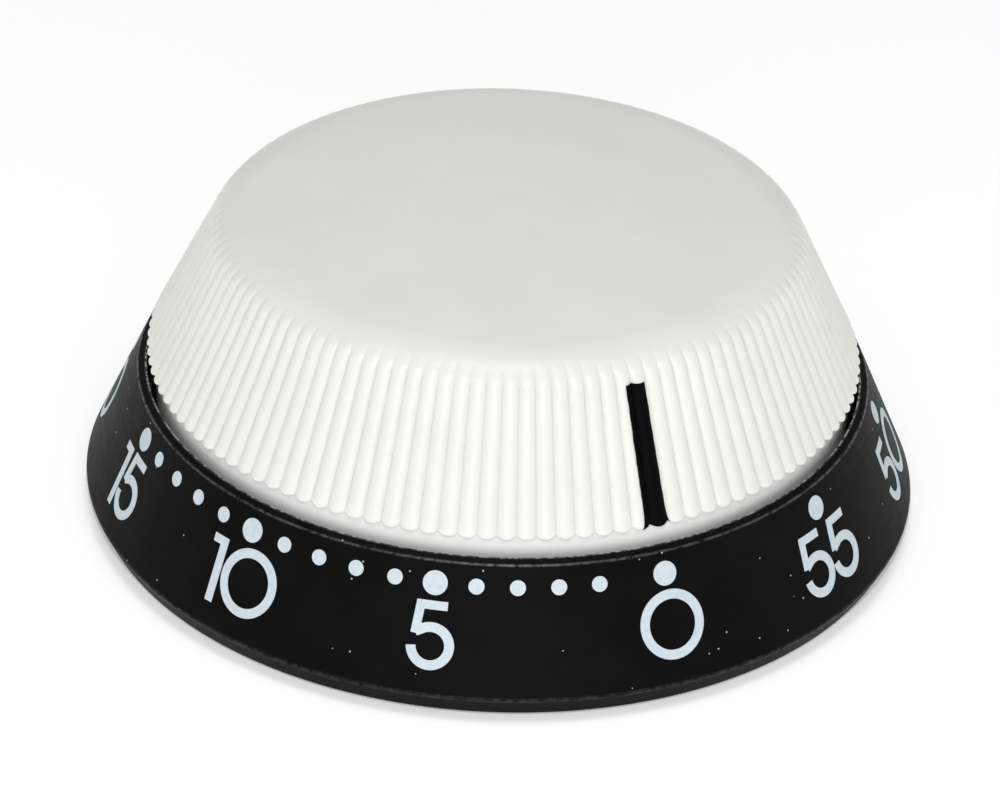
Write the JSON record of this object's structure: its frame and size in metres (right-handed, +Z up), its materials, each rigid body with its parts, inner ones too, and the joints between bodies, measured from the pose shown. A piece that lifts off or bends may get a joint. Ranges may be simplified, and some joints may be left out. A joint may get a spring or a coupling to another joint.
{
  "type": "kitchen timer",
  "caption": "Clockwork kitchen timer: a ribbed white twist knob on a low round black base with a minute dial, a spring-driven movement and a bell inside.",
  "frame": {"origin": "centre of the foot ring, on the surface that the timer stands on", "axes": "+Z up along the knob's axis; -Y towards the 0 mark of the dial"},
  "size_m": [0.078, 0.078, 0.0301],
  "materials": {
    "knob_plastic": "white moulded plastic, satin gloss",
    "base_plastic": "black moulded plastic, satin",
    "cover_plastic": "black moulded plastic, fine matt texture",
    "screw_steel": "zinc-plated steel",
    "plate_steel": "pressed nickel-plated steel",
    "arbor_steel": "turned bright steel",
    "spring_steel": "blued spring steel",
    "wheel_brass": "stamped brass",
    "bell_steel": "nickel-plated pressed steel"
  },
  "bodies": {
    "base": {"base_housing": "base_plastic", "back_cover": "cover_plastic", "cover_screws": "screw_steel", "top_plate": "plate_steel", "bottom_plate": "plate_steel", "pillars": "wheel_brass", "plate_screws": "screw_steel", "mount_screws": "screw_steel", "mainspring": "spring_steel", "spring_post": "arbor_steel", "bell": "bell_steel", "bell_post": "wheel_brass", "bell_screw": "screw_steel", "hammer_spring": "spring_steel"},
    "winder": {"knob": "knob_plastic", "main_arbor": "arbor_steel", "ratchet_wheel": "arbor_steel", "trip_cam": "plate_steel", "stop_arm": "plate_steel"},
    "great_wheel_set": {"great_wheel": "wheel_brass", "click": "arbor_steel", "click_rivet": "arbor_steel", "click_spring": "spring_steel"},
    "second_set": {"second_arbor": "arbor_steel", "second_pinion": "arbor_steel", "second_wheel": "wheel_brass"},
    "third_set": {"third_arbor": "arbor_steel", "third_pinion": "arbor_steel", "third_wheel": "wheel_brass"},
    "escape_set": {"escape_arbor": "arbor_steel", "escape_pinion": "arbor_steel", "escape_wheel": "wheel_brass"},
    "balance_set": {"balance_staff": "arbor_steel", "balance_wheel": "wheel_brass", "pallet_lever": "arbor_steel"},
    "hammer_set": {"hammer_shaft": "arbor_steel", "trip_lever": "plate_steel", "hammer_arm": "plate_steel", "hammer_head": "wheel_brass"}
  },
  "joints": [
    {"name": "knob_turn", "type": "hinge", "parent": "base", "child": "winder", "pos_m": [0, 0, 0.0156], "axis": [0, 0, -1], "range_deg": [0, 352.5]},
    {"name": "great_wheel_turn", "type": "hinge", "parent": "base", "child": "great_wheel_set", "pos_m": [0, 0, 0.0123], "axis": [0, 0, -1], "range_deg": [0, 352.5]},
    {"name": "second_turn", "type": "hinge", "parent": "base", "child": "second_set", "pos_m": [-0.01485, -0.0054, 0.0156], "axis": [0, 0, -1], "continuous": true},
    {"name": "third_turn", "type": "hinge", "parent": "base", "child": "third_set", "pos_m": [-0.0099, -0.01443, 0.0156], "axis": [0, 0, -1], "continuous": true},
    {"name": "escape_turn", "type": "hinge", "parent": "base", "child": "escape_set", "pos_m": [-0.00295, -0.01816, 0.0156], "axis": [0, 0, -1], "continuous": true},
    {"name": "balance_swing", "type": "hinge", "parent": "base", "child": "balance_set", "pos_m": [0.00278, -0.01758, 0.0156], "axis": [0, 0, 1], "range_deg": [-6, 6]},
    {"name": "hammer_swing", "type": "hinge", "parent": "base", "child": "hammer_set", "pos_m": [0.01814, 0.0066, 0.0143], "axis": [0, 0, 1], "range_deg": [0, 18.5], "stiffness_Nm_per_rad": 0.001}
  ],
  "couplings": [
    {"joint": "great_wheel_turn", "follows": "knob_turn", "ratio": 1},
    {"joint": "second_turn", "follows": "knob_turn", "ratio": -6},
    {"joint": "third_turn", "follows": "knob_turn", "ratio": 42},
    {"joint": "escape_turn", "follows": "knob_turn", "ratio": -252}
  ]
}
